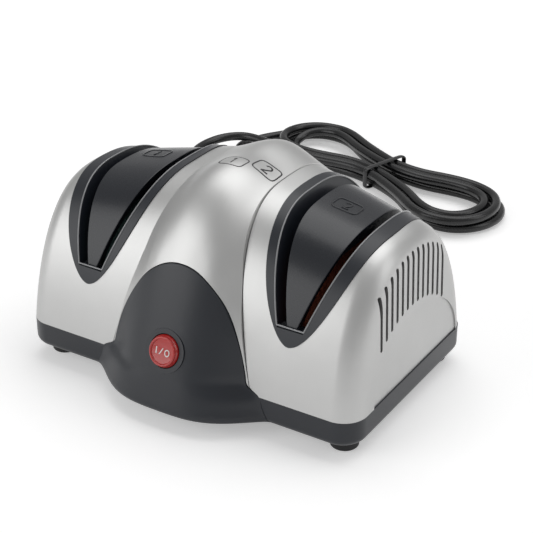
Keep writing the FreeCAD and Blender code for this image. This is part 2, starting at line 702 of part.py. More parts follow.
for s in (-1, 1):
    near, far = sorted((SHAFT_Y + s * (COMM_R + BRUSH_GAP), SHAFT_Y + s * (COMM_R + 9)))
    brushes.append(box(BRUSH_X, BRUSH_X + 5, near, far, SHAFT_Z - 2, SHAFT_Z + 2))
    near, far = sorted((SHAFT_Y + s * (COMM_R + 2.5), SHAFT_Y + s * (COMM_R + 14)))
    sleeve = box(BRUSH_X - 0.8, MOTOR_HALF, near, far, SHAFT_Z - 3, SHAFT_Z + 3)
    near, far = sorted((SHAFT_Y + s * COMM_R, SHAFT_Y + s * (COMM_R + 9)))
    holders.append(sleeve.cut(box(BRUSH_X, BRUSH_X + 5, near, far, SHAFT_Z - 2, SHAFT_Z + 2)))
save("motor_brushes", Part.makeCompound(brushes))
save("brush_holders", Part.makeCompound(holders))

FAN_X = MOTOR_HALF + CAP_THICK + BOSS_LONG + 1.5
FAN_WIDE = 7.0
fan = tube(7.0, SHAFT_R, FAN_X, FAN_X + FAN_WIDE)
for i in range(9):
    a = 40 * i
    blade = box(FAN_X + 0.5, FAN_X + FAN_WIDE, SHAFT_Y - 0.6, SHAFT_Y + 0.6, SHAFT_Z + 5.5, SHAFT_Z + FAN_R)
    blade.rotate(V(FAN_X + FAN_WIDE / 2, SHAFT_Y, SHAFT_Z), V(0, 0, 1), 24)
    blade.rotate(V(0, SHAFT_Y, SHAFT_Z), V(1, 0, 0), a)
    fan = fan.fuse(blade)
save("cooling_fan", fan)

# Cradle under the motor, with its screws
CRADLE_Y = 24.0
CRADLE_TOP = SHAFT_Z - 14
cradle = box(-CRADLE_HALF, CRADLE_HALF, SHAFT_Y - CRADLE_Y, SHAFT_Y + CRADLE_Y, TRAY_Z + WALL, CRADLE_TOP)
cradle = cradle.cut(rod(MOTOR_R, -60, 60))
cradle = cradle.cut(box(-CRADLE_HALF + 5, CRADLE_HALF - 5, -60, 90, TRAY_Z + WALL + 4, CRADLE_TOP + 1))
cradle = cradle.fuse(box(-CRADLE_HALF, CRADLE_HALF, SHAFT_Y - CRADLE_Y - 8, SHAFT_Y + CRADLE_Y + 8,
                         TRAY_Z + WALL, TRAY_Z + WALL + 4))
cradle_screws = []
for sx in (-1, 1):
    for sy in (-1, 1):
        x, y = sx * (CRADLE_HALF - 5), SHAFT_Y + sy * (CRADLE_Y + 4)
        cradle = cradle.cut(post(SCREW_R, x, y, 0, 30))
        cradle_screws.append(post(SCREW_R, x, y, TRAY_Z + WALL,
                                  TRAY_Z + WALL + 4).fuse(post(3.0, x, y, TRAY_Z + WALL + 4,
                                                               TRAY_Z + WALL + 6)))
save("motor_cradle", cradle)
save("cradle_screws", Part.makeCompound(cradle_screws))

# Outer bearing blocks
BLOCK_Y = 9.0
block = box(BLOCK_X - BLOCK_HALF, BLOCK_X + BLOCK_HALF, SHAFT_Y - BLOCK_Y, SHAFT_Y + BLOCK_Y, TRAY_Z + WALL,
            SHAFT_Z)
block = block.fuse(rod(BLOCK_Y, BLOCK_X - BLOCK_HALF, BLOCK_X + BLOCK_HALF))
block = block.fuse(box(BLOCK_X - 7, BLOCK_X + 7, SHAFT_Y - 18, SHAFT_Y + 18, TRAY_Z + WALL,
                       TRAY_Z + WALL + 4))
block = block.cut(rod(BEARING_R, 60, 100))
save("right_bearing_block", block)
save("left_bearing_block", mirror_x(block))
bush = tube(BEARING_R, SHAFT_R + RUN_GAP, BLOCK_X - BLOCK_HALF, BLOCK_X + BLOCK_HALF)
save("outer_bushings", Part.makeCompound([bush, mirror_x(bush)]))

# Grinding wheels, their springs and the clips that hold them on the shaft
HUB_LONG = 3.0
SEAT_R = SPRING_R + 1.2
SEAT_DEEP = 1.2
face = LOBE_X + WHEEL_SPACE / 2
wheel = rod(WHEEL_R, face, face + WHEEL_THICK - GRIT_THICK)
wheel = wheel.fuse(tube(WHEEL_R, GRIT_IN_R, face + WHEEL_THICK - GRIT_THICK, face + WHEEL_THICK))
wheel = wheel.fuse(rod(WHEEL_HUB_R, face, face + WHEEL_THICK + HUB_LONG))
wheel = wheel.cut(rod(SEAT_R, face - 1, face + SEAT_DEEP)).cut(rod(SHAFT_R + RUN_GAP, face - 1, face + 20))
for i in range(6):
    a = math.radians(60 * i)
    wheel = wheel.cut(rod(3.0, face - 1, face + 9, SHAFT_Y + 15 * math.cos(a), SHAFT_Z + 15 * math.sin(a)))
twin = wheel.mirror(V(LOBE_X, 0, 0), V(1, 0, 0))
save("right_fine_wheel_outer", wheel)
save("right_fine_wheel_inner", twin)
save("left_coarse_wheel_outer", mirror_x(wheel))
save("left_coarse_wheel_inner", mirror_x(twin))
spring_long = WHEEL_SPACE + 2 * SEAT_DEEP - 2 * SPRING_WIRE - 0.3
spring = coil(SPRING_R, SPRING_WIRE, SPRING_TURNS, spring_long,
              V(LOBE_X - spring_long / 2, SHAFT_Y, SHAFT_Z), V(1, 0, 0),
              "wheel spring")
save("right_wheel_spring", spring)
save("left_wheel_spring", mirror_x(spring))
CLIP_GAP = 0.3
clip_x = face + WHEEL_THICK + HUB_LONG + CLIP_GAP
clip = tube(CLIP_R, SHAFT_R, clip_x, clip_x + CLIP_THICK)
clip_twin = clip.mirror(V(LOBE_X, 0, 0), V(1, 0, 0))
save("shaft_clips", Part.makeCompound([clip, clip_twin, mirror_x(clip), mirror_x(clip_twin)]))

# Feet and housing screws
feet = []
for x, y in FEET:
    foot = post(FOOT_R, x, y, 0, TRAY_Z)
    foot = foot.makeFillet(1.2, [e for e in foot.Edges if e.BoundBox.ZMax < 0.01])
    feet.append(foot.fuse(post(2.5, x, y, TRAY_Z - 1, TRAY_Z + WALL)))
save("rubber_feet", Part.makeCompound(feet))
screws = []
for x, y in SCREW_PLACES:
    screws.append(post(2.9, x, y, TRAY_Z + 0.6, TRAY_Z + 2.4).fuse(post(SCREW_R, x, y, TRAY_Z + 2,
                                                                        BOSS_TOP - 4)))
save("housing_screws", Part.makeCompound(screws))

# Rectifier board and what is on it
board = box(BOARD[0], BOARD[1], BOARD[2], BOARD[3], BOARD_Z, BOARD_Z + BOARD_THICK)
board_top = BOARD_Z + BOARD_THICK
heads = []
for x, y in BOARD_SCREWS:
    board = board.cut(post(1.4, x, y, 0, 40))
    heads.append(post(1.2, x, y, TRAY_Z + 4, board_top).fuse(post(2.6, x, y, board_top, board_top + 1.6)))
save("rectifier_board", board)
save("board_screws", Part.makeCompound(heads))
parts_on_board = [
    post(5.0, -9, 52, board_top, board_top + 14),
    box(2, 14, 46, 50, board_top, board_top + 12),
    box(2, 14, 55, 60, board_top, board_top + 8),
    Part.makeCylinder(2.2, 10, V(-5, 43, board_top + 2.2), V(1, 0, 0)),
]
save("board_components", Part.makeCompound(parts_on_board))


# Leads
LEAD_R = 1.0
lead_z = board_top + LEAD_R
UNDER_BOARD = BOARD_Z - LEAD_R - 0.1
switch_leads = []
for side in (-1, 1):
    points = [(side * 6, -27.5, 27.7), (side * 6.5, -24, 26), (side * 16, -20.5, 20.5), (side * 28, -18, 18)]
    points += [(side * 33, 4, 13.5)]
    points += [(side * 31, 26, 12.2), (side * 27, 37, 12.2), (side * 25.5, 45, 12.6),
               (side * 21, 53, UNDER_BOARD)]
    switch_leads.append(route(points, LEAD_R, "switch lead"))
save("switch_leads", Part.makeCompound(switch_leads))

# Cord: strain relief, free stretch, hank with its tie, tail and plug
CORD_R = CORD_D / 2
RELIEF_END = REAR_FACE + RELIEF_LONG
back = V(0, 1, 0)
relief = Part.makeCone(RELIEF_R, CORD_R + 0.7, RELIEF_LONG, V(EXIT_X, REAR_FACE, EXIT_Z), back)
relief = relief.fuse(Part.makeCylinder(RELIEF_NECK - 0.1, WALL + 0.2,
                                       V(EXIT_X, REAR_FACE - WALL - 0.2, EXIT_Z), back))
relief = relief.fuse(Part.makeCylinder(RELIEF_R, 2.0, V(EXIT_X, REAR_FACE - WALL - 2.2, EXIT_Z), back))
save("strain_relief", relief)

clamp_y = REAR_FACE - WALL - 16
clamp = box(EXIT_X - 11, EXIT_X + 11, clamp_y, clamp_y + 6, TRAY_Z + WALL, EXIT_Z + CORD_R + 2.5)
clamp = clamp.cut(Part.makeCylinder(CORD_R, 20, V(EXIT_X, clamp_y - 5, EXIT_Z), back))
clamp_screws = []
for x in (EXIT_X - 7.5, EXIT_X + 7.5):
    top = EXIT_Z + CORD_R + 2.5
    clamp = clamp.cut(post(1.2, x, clamp_y + 3, 0, 60))
    clamp_screws.append(post(1.2, x, clamp_y + 3, TRAY_Z + WALL,
                             top).fuse(post(2.4, x, clamp_y + 3, top, top + 1.6)))
save("cord_clamp", clamp)
save("clamp_screws", Part.makeCompound(clamp_screws))
inner_end = REAR_FACE - WALL - 2.2
inner_points = [(EXIT_X, inner_end, EXIT_Z), (EXIT_X, inner_end - 16, EXIT_Z),
                (EXIT_X + 2, inner_end - 30, EXIT_Z + 1),
                (EXIT_X + 12, inner_end - 38, EXIT_Z + 4),
                (BOARD[0] + 1, inner_end - 33, board_top + CORD_R + 0.3)]
save("mains_lead", route(inner_points, CORD_R, "mains lead"))


def hank_climb(turns):
    """0 on the hank's lower layer and 1 on the upper one, changing smoothly between them."""
    climb = min(1.0, max(0.0, (turns - HANK_LAYER + 0.15) / 0.3))
    return climb * climb * (3 - 2 * climb)


def hank_loop(turns):
    """Outermost loop of the hank in its own plane: a long rounded loop, pinched at the tie."""
    a = 2 * math.pi * turns
    along = -HANK_HALF * (math.cos(a) - HANK_SQUARE * math.cos(3 * a)) / (1 - HANK_SQUARE)
    wide = HANK_WIDE + HANK_SKEW * along / HANK_HALF
    across = wide * (math.sin(a) + HANK_SQUARE * math.sin(3 * a)) / (1 - HANK_SQUARE)
    across *= 1 - HANK_PINCH * math.exp(-(along / HANK_PINCH_LONG) ** 2)
    slip = HANK_SLIP * hank_climb(turns) * (along / HANK_HALF) ** 2
    return V(along, across + slip, 0)


def hank_local(turns):
    """Centre line of the hank after this many turns, in its own plane and height.

    Each turn lies one step inside the last; half way the cord climbs a layer and spirals out again.
    """
    ahead = (hank_loop(turns + 0.001) - hank_loop(turns - 0.001)).normalize()
    inward = V(ahead.y, -ahead.x, 0)
    height = CORD_R + FLOOR_LIFT + HANK_STEP * hank_climb(turns)
    return hank_loop(turns) + inward * (HANK_STEP * min(turns, 2 * HANK_LAYER - turns)) + V(0, 0, height)


def hank_point(turns):
    """The same point on the floor behind the body."""
    p = hank_local(turns)
    c, s = math.cos(math.radians(HANK_TURN)), math.sin(math.radians(HANK_TURN))
    return V(HANK_AT[0] + p.x * c - p.y * s, HANK_AT[1] + p.x * s + p.y * c, p.z)


steps = 70
hank_points = [hank_point(HANK_TURNS * i / steps) for i in range(steps + 1)]
fine = [hank_local(HANK_TURNS * i / 600) for i in range(801)]
least = min((p - q).Length for i, p in enumerate(fine) for q in fine[i + 25:])
waist = [p.y for p in fine if abs(p.x) < 6]
print("hank gap", round(least - CORD_D, 2))
save("cord_hank", route([tuple(p) for p in hank_points], CORD_R, "hank"))

floor_z = CORD_R + 0.1
first = (hank_points[1] - hank_points[0]).normalize()
start = hank_points[0]
lead_points = [(EXIT_X, RELIEF_END, EXIT_Z), (EXIT_X, RELIEF_END + 15, EXIT_Z),
               (EXIT_X - 3, RELIEF_END + 34, 9.5),
               (EXIT_X - 14, RELIEF_END + 56, floor_z + 0.6), (EXIT_X - 33, RELIEF_END + 82, floor_z),
               (EXIT_X - 58, RELIEF_END + 106, floor_z), (EXIT_X - 85, RELIEF_END + 126, floor_z),
               (start.x - first.x * 30 - 5, start.y - first.y * 56, floor_z), tuple(start - first * 26),
               tuple(start)]
save("power_cord", route(lead_points, CORD_R, "power cord"))
last = (hank_points[-1] - hank_points[-2]).normalize()
end = hank_points[-1]
PLUG_AT = V(-166.0, 192.0, PLUG_HIGH / 2)
tail_points = [tuple(end), tuple(end + last * 16), (end.x - 31, end.y + 4, end.z),
               (end.x - 44, end.y - 5, end.z - 1),
               (end.x - 50, end.y - 21, end.z - 2), (end.x - 49, end.y - 38, PLUG_AT.z + 0.4),
               (PLUG_AT.x, PLUG_AT.y + 16, PLUG_AT.z), tuple(PLUG_AT)]
save("cord_tail", route(tail_points, CORD_R, "cord tail"))

# Tie round the hank's waist
low, high = min(waist) - CORD_R - 1.8, max(waist) + CORD_R + 1.8
tie_high = FLOOR_LIFT + CORD_D + HANK_STEP + 0.3
tie = box(-TIE_WIDE / 2, TIE_WIDE / 2, low - TIE_THICK, high + TIE_THICK, 0, tie_high + TIE_THICK)
tie = tie.makeFillet(3.5, [e for e in tie.Edges if e.BoundBox.XLength > 1])
tie_hole = box(-TIE_WIDE, TIE_WIDE, low, high, TIE_THICK, tie_high)
tie_hole = tie_hole.makeFillet(2.8, [e for e in tie_hole.Edges if e.BoundBox.XLength > 1])
tie = tie.cut(tie_hole)
tie.Placement = FreeCAD.Placement(V(HANK_AT[0], HANK_AT[1], 0), FreeCAD.Rotation(V(0, 0, 1), HANK_TURN))
save("cord_tie", tie)

plug = box(-PLUG_WIDE / 2, PLUG_WIDE / 2, -PLUG_LONG, 0, -PLUG_HIGH / 2, PLUG_HIGH / 2)
plug = plug.makeFillet(5.0, [e for e in plug.Edges if e.BoundBox.YLength > 1])
plug = plug.makeChamfer(3.0, [e for e in plug.Edges if e.BoundBox.YMin > -0.01])
plug.translate(PLUG_AT)
save("plug_body", plug)
blades = [box(s - 0.75, s + 0.75, -PLUG_LONG - 17, -PLUG_LONG, -3.15, 3.15) for s in (-6.35, 6.35)]
blades = Part.makeCompound(blades)
blades.translate(PLUG_AT)
save("plug_blades", blades)
whole = Part.makeCompound([base, shell, cover, surround, cap]).BoundBox
print("body box", [round(v, 2) for v in (whole.XMin, whole.XMax, whole.YMin, whole.YMax, whole.ZMin,
                                         whole.ZMax)])
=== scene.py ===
import json
import math
import bmesh
import bpy
import numpy as np
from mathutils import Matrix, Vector

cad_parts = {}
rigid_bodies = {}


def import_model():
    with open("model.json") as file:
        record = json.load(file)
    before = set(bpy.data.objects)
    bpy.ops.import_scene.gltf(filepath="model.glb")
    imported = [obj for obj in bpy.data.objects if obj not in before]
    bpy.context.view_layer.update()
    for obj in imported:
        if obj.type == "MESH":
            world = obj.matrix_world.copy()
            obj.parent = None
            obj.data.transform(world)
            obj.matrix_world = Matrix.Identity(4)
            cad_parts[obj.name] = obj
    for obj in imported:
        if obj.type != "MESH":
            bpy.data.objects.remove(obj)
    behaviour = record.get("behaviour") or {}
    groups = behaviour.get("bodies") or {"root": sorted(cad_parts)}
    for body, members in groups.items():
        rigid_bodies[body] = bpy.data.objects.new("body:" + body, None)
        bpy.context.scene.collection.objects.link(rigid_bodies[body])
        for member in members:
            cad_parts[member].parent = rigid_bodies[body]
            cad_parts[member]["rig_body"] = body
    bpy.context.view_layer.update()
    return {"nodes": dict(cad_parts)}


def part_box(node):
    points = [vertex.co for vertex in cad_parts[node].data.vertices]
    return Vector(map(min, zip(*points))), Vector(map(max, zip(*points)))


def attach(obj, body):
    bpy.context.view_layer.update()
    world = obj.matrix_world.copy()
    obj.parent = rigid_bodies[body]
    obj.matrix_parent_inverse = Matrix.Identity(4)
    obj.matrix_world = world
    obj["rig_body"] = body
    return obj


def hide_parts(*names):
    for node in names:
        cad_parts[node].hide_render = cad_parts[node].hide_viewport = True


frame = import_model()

parts = frame["nodes"]
MM = 0.001

# Base tray and front bulge: one moulding of dark slate plastic that carries everything else.
# The shells of the two lobes and the centre cover stand on its rim.


def ranged(tree, feed, low, high, near=0.0, far=1.0):
    """Socket that takes the feed's stretch from near to far over to the stretch from low to high."""
    node = tree.nodes.new("ShaderNodeMapRange")
    for socket, value in (("From Min", near), ("From Max", far), ("To Min", low), ("To Max", high)):
        node.inputs[socket].default_value = value
    tree.links.new(feed, node.inputs["Value"])
    return node.outputs["Result"]


def noise(tree, place, scale, detail):
    """Socket of a noise texture laid out on a place socket."""
    node = tree.nodes.new("ShaderNodeTexNoise")
    node.inputs["Scale"].default_value = scale
    node.inputs["Detail"].default_value = detail
    tree.links.new(place, node.inputs["Vector"])
    return node.outputs["Fac"]


def two_tones(tree, feed, first, last, span=(0.0, 1.0)):
    """Socket of a colour that runs from the first to the last over a span of the feed."""
    ramp = tree.nodes.new("ShaderNodeValToRGB")
    for stop, color, position in zip(ramp.color_ramp.elements, (first, last), span):
        stop.color = tuple(color) + (1,)
        stop.position = position
    tree.links.new(feed, ramp.inputs["Fac"])
    return ramp.outputs["Color"]


def moulded(name, color, rough, metallic=0.0, grain=1500.0, depth=0.02, mottle=0.06, spread=0.06):
    """Finish with a slow drift of its colour and a fine grain in its roughness and its bump."""
    material = bpy.data.materials.new(name)
    material.use_nodes = True
    tree = material.node_tree
    shader = tree.nodes["Principled BSDF"].inputs
    shader["Metallic"].default_value = metallic
    place = tree.nodes.new("ShaderNodeTexCoord").outputs["Object"]
    drift = noise(tree, place, scale=30.0, detail=3.0)
    fine = noise(tree, place, scale=grain, detail=2.0)
    dark = [c * (1 - mottle) for c in color]
    pale = [min(1.0, c * (1 + mottle)) for c in color]
    tree.links.new(two_tones(tree, drift, dark, pale, span=(0.3, 0.7)), shader["Base Color"])
    tree.links.new(ranged(tree, fine, rough - spread, rough + spread), shader["Roughness"])
    bump = tree.nodes.new("ShaderNodeBump")
    bump.inputs["Strength"].default_value = 0.5
    bump.inputs["Distance"].default_value = depth * MM
    tree.links.new(fine, bump.inputs["Height"])
    tree.links.new(bump.outputs["Normal"], shader["Normal"])
    return material


def placed(name, data):
    """Object at the origin that shows this data."""
    thing = bpy.data.objects.new(name, data)
    bpy.context.scene.collection.objects.link(thing)
    return thing


MOULD_WELD = 2e-6
MOULD_SLIVER = 1e-6
MOULD_ANGLE = math.radians(38)


def rounded(part, material, radius):
    """Copy of a frame piece whose sharp edges get the small radius, in millimetres, of a real mould."""
    mesh = parts[part].data.copy()
    mesh.name = part + "_moulding"
    shape = bmesh.new()
    shape.from_mesh(mesh)
    bmesh.ops.remove_doubles(shape, verts=shape.verts, dist=MOULD_WELD)
    bmesh.ops.dissolve_degenerate(shape, edges=shape.edges, dist=MOULD_SLIVER)
    shape.to_mesh(mesh)
    shape.free()
    if "custom_normal" in mesh.attributes:
        mesh.attributes.remove(mesh.attributes["custom_normal"])
    mesh.shade_smooth()
    mesh.set_sharp_from_angle(angle=MOULD_ANGLE)
    mesh.materials.clear()
    mesh.materials.append(material)
    piece = placed(part + "_moulding", mesh)
    bevel = piece.modifiers.new("mould_radius", "BEVEL")
    bevel.limit_method = "ANGLE"
    bevel.angle_limit = MOULD_ANGLE
    bevel.width = radius * MM
    bevel.segments = 2
    bevel.use_clamp_overlap = True
    bevel.harden_normals = True
    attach(piece, parts[part]["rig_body"])
    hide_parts(part)
    return piece


slate = moulded("slate_plastic", (0.0110, 0.0135, 0.0195), rough=0.36, grain=2200, depth=0.005)
rounded("base_housing", slate, radius=0.35)

# Rubber feet: four round pads of black rubber near the tray's corners, with a rounded lower edge.
# Each is held by a peg pushed through the tray's floor, and together they carry the whole weight.


def finish_parts(material, *names):
    """Gives the frame's own parts a finish."""
    for name in names:
        parts[name].data.materials.clear()
        parts[name].data.materials.append(material)


foot_rubber = moulded("foot_rubber", (0.012, 0.012, 0.013), rough=0.62, grain=700, depth=0.05)
finish_parts(foot_rubber, "rubber_feet")

# Motor, its cradle and its screws: a steel can with magnets, pressed end caps and bronze bushings.
# It lies in a moulded cradle and drives the shaft that carries all four wheels.
# The bearing blocks, springs, screws, switch and board round it share its materials.
steel = moulded("plain_steel", (0.46, 0.46, 0.45), rough=0.32, metallic=0.95, grain=500, depth=0.01)
finish_parts(steel, "motor_can", "motor_cap_left", "motor_cap_right", "drive_shaft", "shaft_clips",
             "cradle_screws", "housing_screws", "board_screws", "clamp_screws", "armature_core",
             "left_wheel_spring", "right_wheel_spring", "button_spring")
ferrite = moulded("magnet_ferrite", (0.05, 0.05, 0.052), rough=0.6, metallic=0.1, grain=900, depth=0.03)
finish_parts(ferrite, "motor_magnets")
bronze = moulded("sintered_bronze", (0.42, 0.27, 0.12), rough=0.4, metallic=0.9, grain=900, depth=0.02)
finish_parts(bronze, "motor_bushings", "outer_bushings", "brush_holders", "switch_terminals")
copper = moulded("wound_copper", (0.50, 0.16, 0.06), rough=0.3, metallic=0.85, grain=1400, depth=0.06)
finish_parts(copper, "armature_windings", "commutator")
carbon = moulded("brush_carbon", (0.02, 0.02, 0.021), rough=0.7, grain=1200, depth=0.04)
finish_parts(carbon, "motor_brushes")
inner_black = moulded("inner_plastic", (0.02, 0.02, 0.022), rough=0.5, grain=1200, depth=0.02)
finish_parts(inner_black, "motor_cradle", "left_bearing_block", "right_bearing_block", "cord_clamp",
             "cooling_fan", "switch_body", "board_components")
board_green = moulded("board_green", (0.02, 0.11, 0.05), rough=0.45, grain=300, depth=0.01)
finish_parts(board_green, "rectifier_board")
finish_parts(moulded("lead_sleeve", (0.35, 0.03, 0.02), rough=0.45), "switch_leads")

# Grinding wheels: two coarse ones on the left and two fine ones on the right, bonded grit on a hub.
# The coarse grit is grey green, the fine grit is reddish brown.


def grit(name, dark, pale, cells):
    """Bonded grit: small cells of two tones, with a grain as fine as they are."""
    material = moulded(name, dark, rough=0.85, grain=cells, depth=0.2, mottle=0.25)
    tree = material.node_tree
    place = tree.nodes.new("ShaderNodeTexCoord")
    grains = tree.nodes.new("ShaderNodeTexVoronoi")
    grains.inputs["Scale"].default_value = cells
    tree.links.new(place.outputs["Object"], grains.inputs["Vector"])
    tones = two_tones(tree, grains.outputs["Color"], dark, pale)
    tree.links.new(tones, tree.nodes["Principled BSDF"].inputs["Base Color"])
    return material


coarse = grit("coarse_grit", dark=(0.04, 0.10, 0.09), pale=(0.16, 0.26, 0.24), cells=1300.0)
finish_parts(coarse, "left_coarse_wheel_outer", "left_coarse_wheel_inner")
fine = grit("fine_grit", dark=(0.20, 0.035, 0.015), pale=(0.42, 0.10, 0.05), cells=2300.0)
finish_parts(fine, "right_fine_wheel_outer", "right_fine_wheel_inner")

# Silver shells: the left and right lobes and the crowned centre cover, under satin metallic paint.
# The paint carries a fine flake, so it sparkles a little close up.
silver = moulded("silver_paint", (0.52, 0.52, 0.515), rough=0.42, metallic=0.90, grain=2600,
                 depth=0.02, mottle=0.03, spread=0.05)
for shell in ("left_shell", "right_shell", "centre_cover"):
    rounded(shell, silver, radius=0.45)

# Slot surrounds: slate frames that drop into the shells and bound the two leaning slots.
# Their edges are rounded, which draws a thin light line along each slot.
for side in ("left", "right"):
    rounded(side + "_surround", slate, radius=0.5)

# Blade guides: dark glossy covers between the two slots of a side, over the wheels.
# They are moulded smoother than the surrounds, so the lamps show in them as soft patches.
smooth_dark = moulded("guide_plastic", (0.0085, 0.0105, 0.0155), rough=0.28, grain=1600,
                      depth=0.0005, spread=0.02)
for side in ("left", "right"):
    rounded(side + "_guide", smooth_dark, radius=0.6)

# Slot rims: a fine glossy bead that runs round the window of each station, where its liner ends.
# Its pale grey is a painted highlight: the liner is dark plastic, and the pale colour paints the light line
# on its lip.
# It follows the lobe's skin along both slots and turns across their two ends.
LOBE_X = 63.5
FRONT_Y = -58.175
REAR_Y = 76.525
CENTRE_Z = -26.2
PEAK_Y = 8.925
PEAK_Z = 107.8
PEAK_FALL = 0.156
PEAK_SHIFT = 0.128
FRONT_POWER = 2.5
REAR_POWER = 3.03
REAR_POWER_FALL = 0.0138
LIP_HALF = 7.9
LIP_LEAN = 0.34
SLOT_Z = 64.0
RIM_R = 0.42
RIM_PROUD = 0.65
RIM_END_DROP = 0.4
RIM_FIRST_PHI = 0.25
SHARP_ANGLE = math.radians(50)
POLE_WELD = 1e-7


def lobe_skin(x, phi):
    """Lobe's skin in the plane x: a superellipse about its peak's y and its low centre.

    Cosine and sine of phi are raised to two over the power of the front or of the rear.
    """
    out = abs(x) - LOBE_X
    peak = PEAK_Y - PEAK_SHIFT * out
    top = PEAK_Z - PEAK_FALL * out
    front = phi < math.pi / 2
    edge = np.where(front, FRONT_Y, REAR_Y)
    power = 2 / np.where(front, FRONT_POWER, REAR_POWER - REAR_POWER_FALL * out)
    y = peak + (edge - peak) * abs(np.cos(phi)) ** power
    z = CENTRE_Z + (top - CENTRE_Z) * abs(np.sin(phi)) ** power
    return y, z


def slot_line(sign):
    """Line in which a slot's leaning wall meets the skin, moved out along the skin's normal.

    The wall's x depends on z and the skin's z on x, so both are found together in a few rounds.
    """
    phi = np.linspace(RIM_FIRST_PHI, math.pi - RIM_FIRST_PHI, 500)
    x = np.full_like(phi, LOBE_X)
    for _ in range(12):
        y, z = lobe_skin(x, phi)
        x = LOBE_X + sign * (LIP_HALF + LIP_LEAN * (z - SLOT_Z))
    run_y, run_z = np.gradient(y), np.gradient(z)
    long = np.hypot(run_y, run_z)
    line = np.stack([x, y - RIM_PROUD * run_z / long, z + RIM_PROUD * run_y / long], 1)
    return line[z > SLOT_Z - RIM_END_DROP]


def bead(path, radius, around=10):
    """Rings of a round bead: a circle square to a closed path, between its side and its way up."""
    ahead = np.roll(path, -1, 0) - np.roll(path, 1, 0)
    ahead /= np.linalg.norm(ahead, axis=1)[:, None]
    side = np.cross(ahead, (0.0, 0.0, 1.0))
    side /= np.linalg.norm(side, axis=1)[:, None]
    up = np.cross(side, ahead)
    t = np.linspace(0, 2 * math.pi, around, endpoint=False)[:, None]
    return path[:, None] + radius * (np.cos(t) * side[:, None] + np.sin(t) * up[:, None])


def skin(name, rings, material, ends):
    """Smooth piece over rings of points, whose ends are joined in a loop, capped or drawn to poles."""
    rows, around = rings.shape[:2]
    last_row = rows if ends == "joined" else rows - 1
    i, j = np.meshgrid(np.arange(last_row), np.arange(around), indexing="ij")
    row, next_row, beside = i * around, (i + 1) % rows * around, (j + 1) % around
    corners = [row + j, row + beside, next_row + beside, next_row + j]
    faces = np.stack(corners, -1).reshape(-1, 4).tolist()
    if ends == "capped":
        faces += [list(range(around)), list(range((rows - 1) * around, rows * around))]
    mesh = bpy.data.meshes.new(name)
    mesh.from_pydata(rings.reshape(-1, 3) * MM, [], faces)
    shape = bmesh.new()
    shape.from_mesh(mesh)
    if ends == "poles":
        bmesh.ops.remove_doubles(shape, verts=shape.verts, dist=POLE_WELD)
    bmesh.ops.recalc_face_normals(shape, faces=shape.faces)
    shape.to_mesh(mesh)
    shape.free()
    mesh.shade_smooth()
    if ends != "joined":
        mesh.set_sharp_from_angle(angle=SHARP_ANGLE)
    mesh.materials.append(material)
    return placed(name, mesh)


# Pale grey rim colour: a painted highlight for the light line along the dark lip, not the plastic's own
# tone.
rim_painted_highlight = moulded("rim_pale_painted_highlight", (0.32, 0.325, 0.335), rough=0.16, grain=900, depth=0.001, spread=0.02)
inner = slot_line(-1)
outer = slot_line(1)
crossing = np.linspace(0, 1, 20)[1:-1, None]
rear_end = inner[-1] + (outer[-1] - inner[-1]) * crossing
front_end = outer[0] + (inner[0] - outer[0]) * crossing
loop = np.concatenate([inner, rear_end, outer[::-1], front_end])
for side, mirror in (("left", -1), ("right", 1)):
    rim = skin(side + "_slot_rim", bead(loop * (mirror, 1, 1), RIM_R), rim_painted_highlight, ends="joined")
    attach(rim, "housing")

# Stage badges: a rounded frame with a plain number, printed in dark ink on the centre cover.
# The same numbers are raised in the plastic of the two guides.
FRAME_POWER = 5.0
DIGIT_WEIGHT = 1.25
LAID_FROM = 1.0
INK_DEEP = 0.06
RAISED_DEEP = 0.28
SUNK_IN = 0.08


def superellipse(power, count):
    """Two rows of a unit superellipse: cosine and sine raised to 2 / power, with their signs kept."""
    t = np.linspace(0, 2 * math.pi, count, endpoint=False)
    c, s = np.cos(t), np.sin(t)
    return np.sign(c) * abs(c) ** (2 / power), np.sign(s) * abs(s) ** (2 / power)


def stroke(points, wide, closed=False):
    """Flat ribbon of quads along a path, with half its width on each side of the path's own normal."""
    path = np.asarray(points, float)
    if closed:
        ahead = np.roll(path, -1, 0) - np.roll(path, 1, 0)
    else:
        ahead = np.gradient(path, axis=0)
    ahead /= np.linalg.norm(ahead, axis=1)[:, None]
    side = np.stack([-ahead[:, 1], ahead[:, 0]], 1) * wide / 2
    n = len(path)
    i = np.arange(n if closed else n - 1)
    j = (i + 1) % n
    return np.concatenate([path + side, path - side]), np.stack([i, i + n, j + n, j], 1)


def drawing(strokes):
    """Points and quads of several strokes as one flat drawing."""
    starts = np.cumsum([0] + [len(rows) for rows, quads in strokes[:-1]])
    faces = np.concatenate([quads + start for (rows, quads), start in zip(strokes, starts)])
    return np.concatenate([rows for rows, quads in strokes]), faces.tolist()


def thin_piece(name, points, faces, material):
    """Thin piece over points in millimetres."""
    mesh = bpy.data.meshes.new(name)
    mesh.from_pydata(points * MM, [], faces)
    mesh.materials.append(material)
    return placed(name, mesh)


def digit_paths(number, high):
    """Centre lines of a plain 1 or 2: runs and one arc, in a cell as high as asked."""
    if number == 1:
        return [np.array([[0.0, -0.5], [0.0, 0.0], [0.0, 0.5]]) * high,
                np.array([[-0.19, 0.32], [-0.09, 0.40], [0.0, 0.47]]) * high]
    t = np.linspace(math.radians(165), math.radians(-38), 16)
    bow = np.stack([0.25 * np.cos(t), 0.25 + 0.25 * np.sin(t)], 1)
    fall = np.array([[0.02, -0.17], [-0.25, -0.46]])
    foot = np.array([[-0.28, -0.46], [0.0, -0.46], [0.29, -0.46]])
    return [np.concatenate([bow, fall]) * high, foot * high]


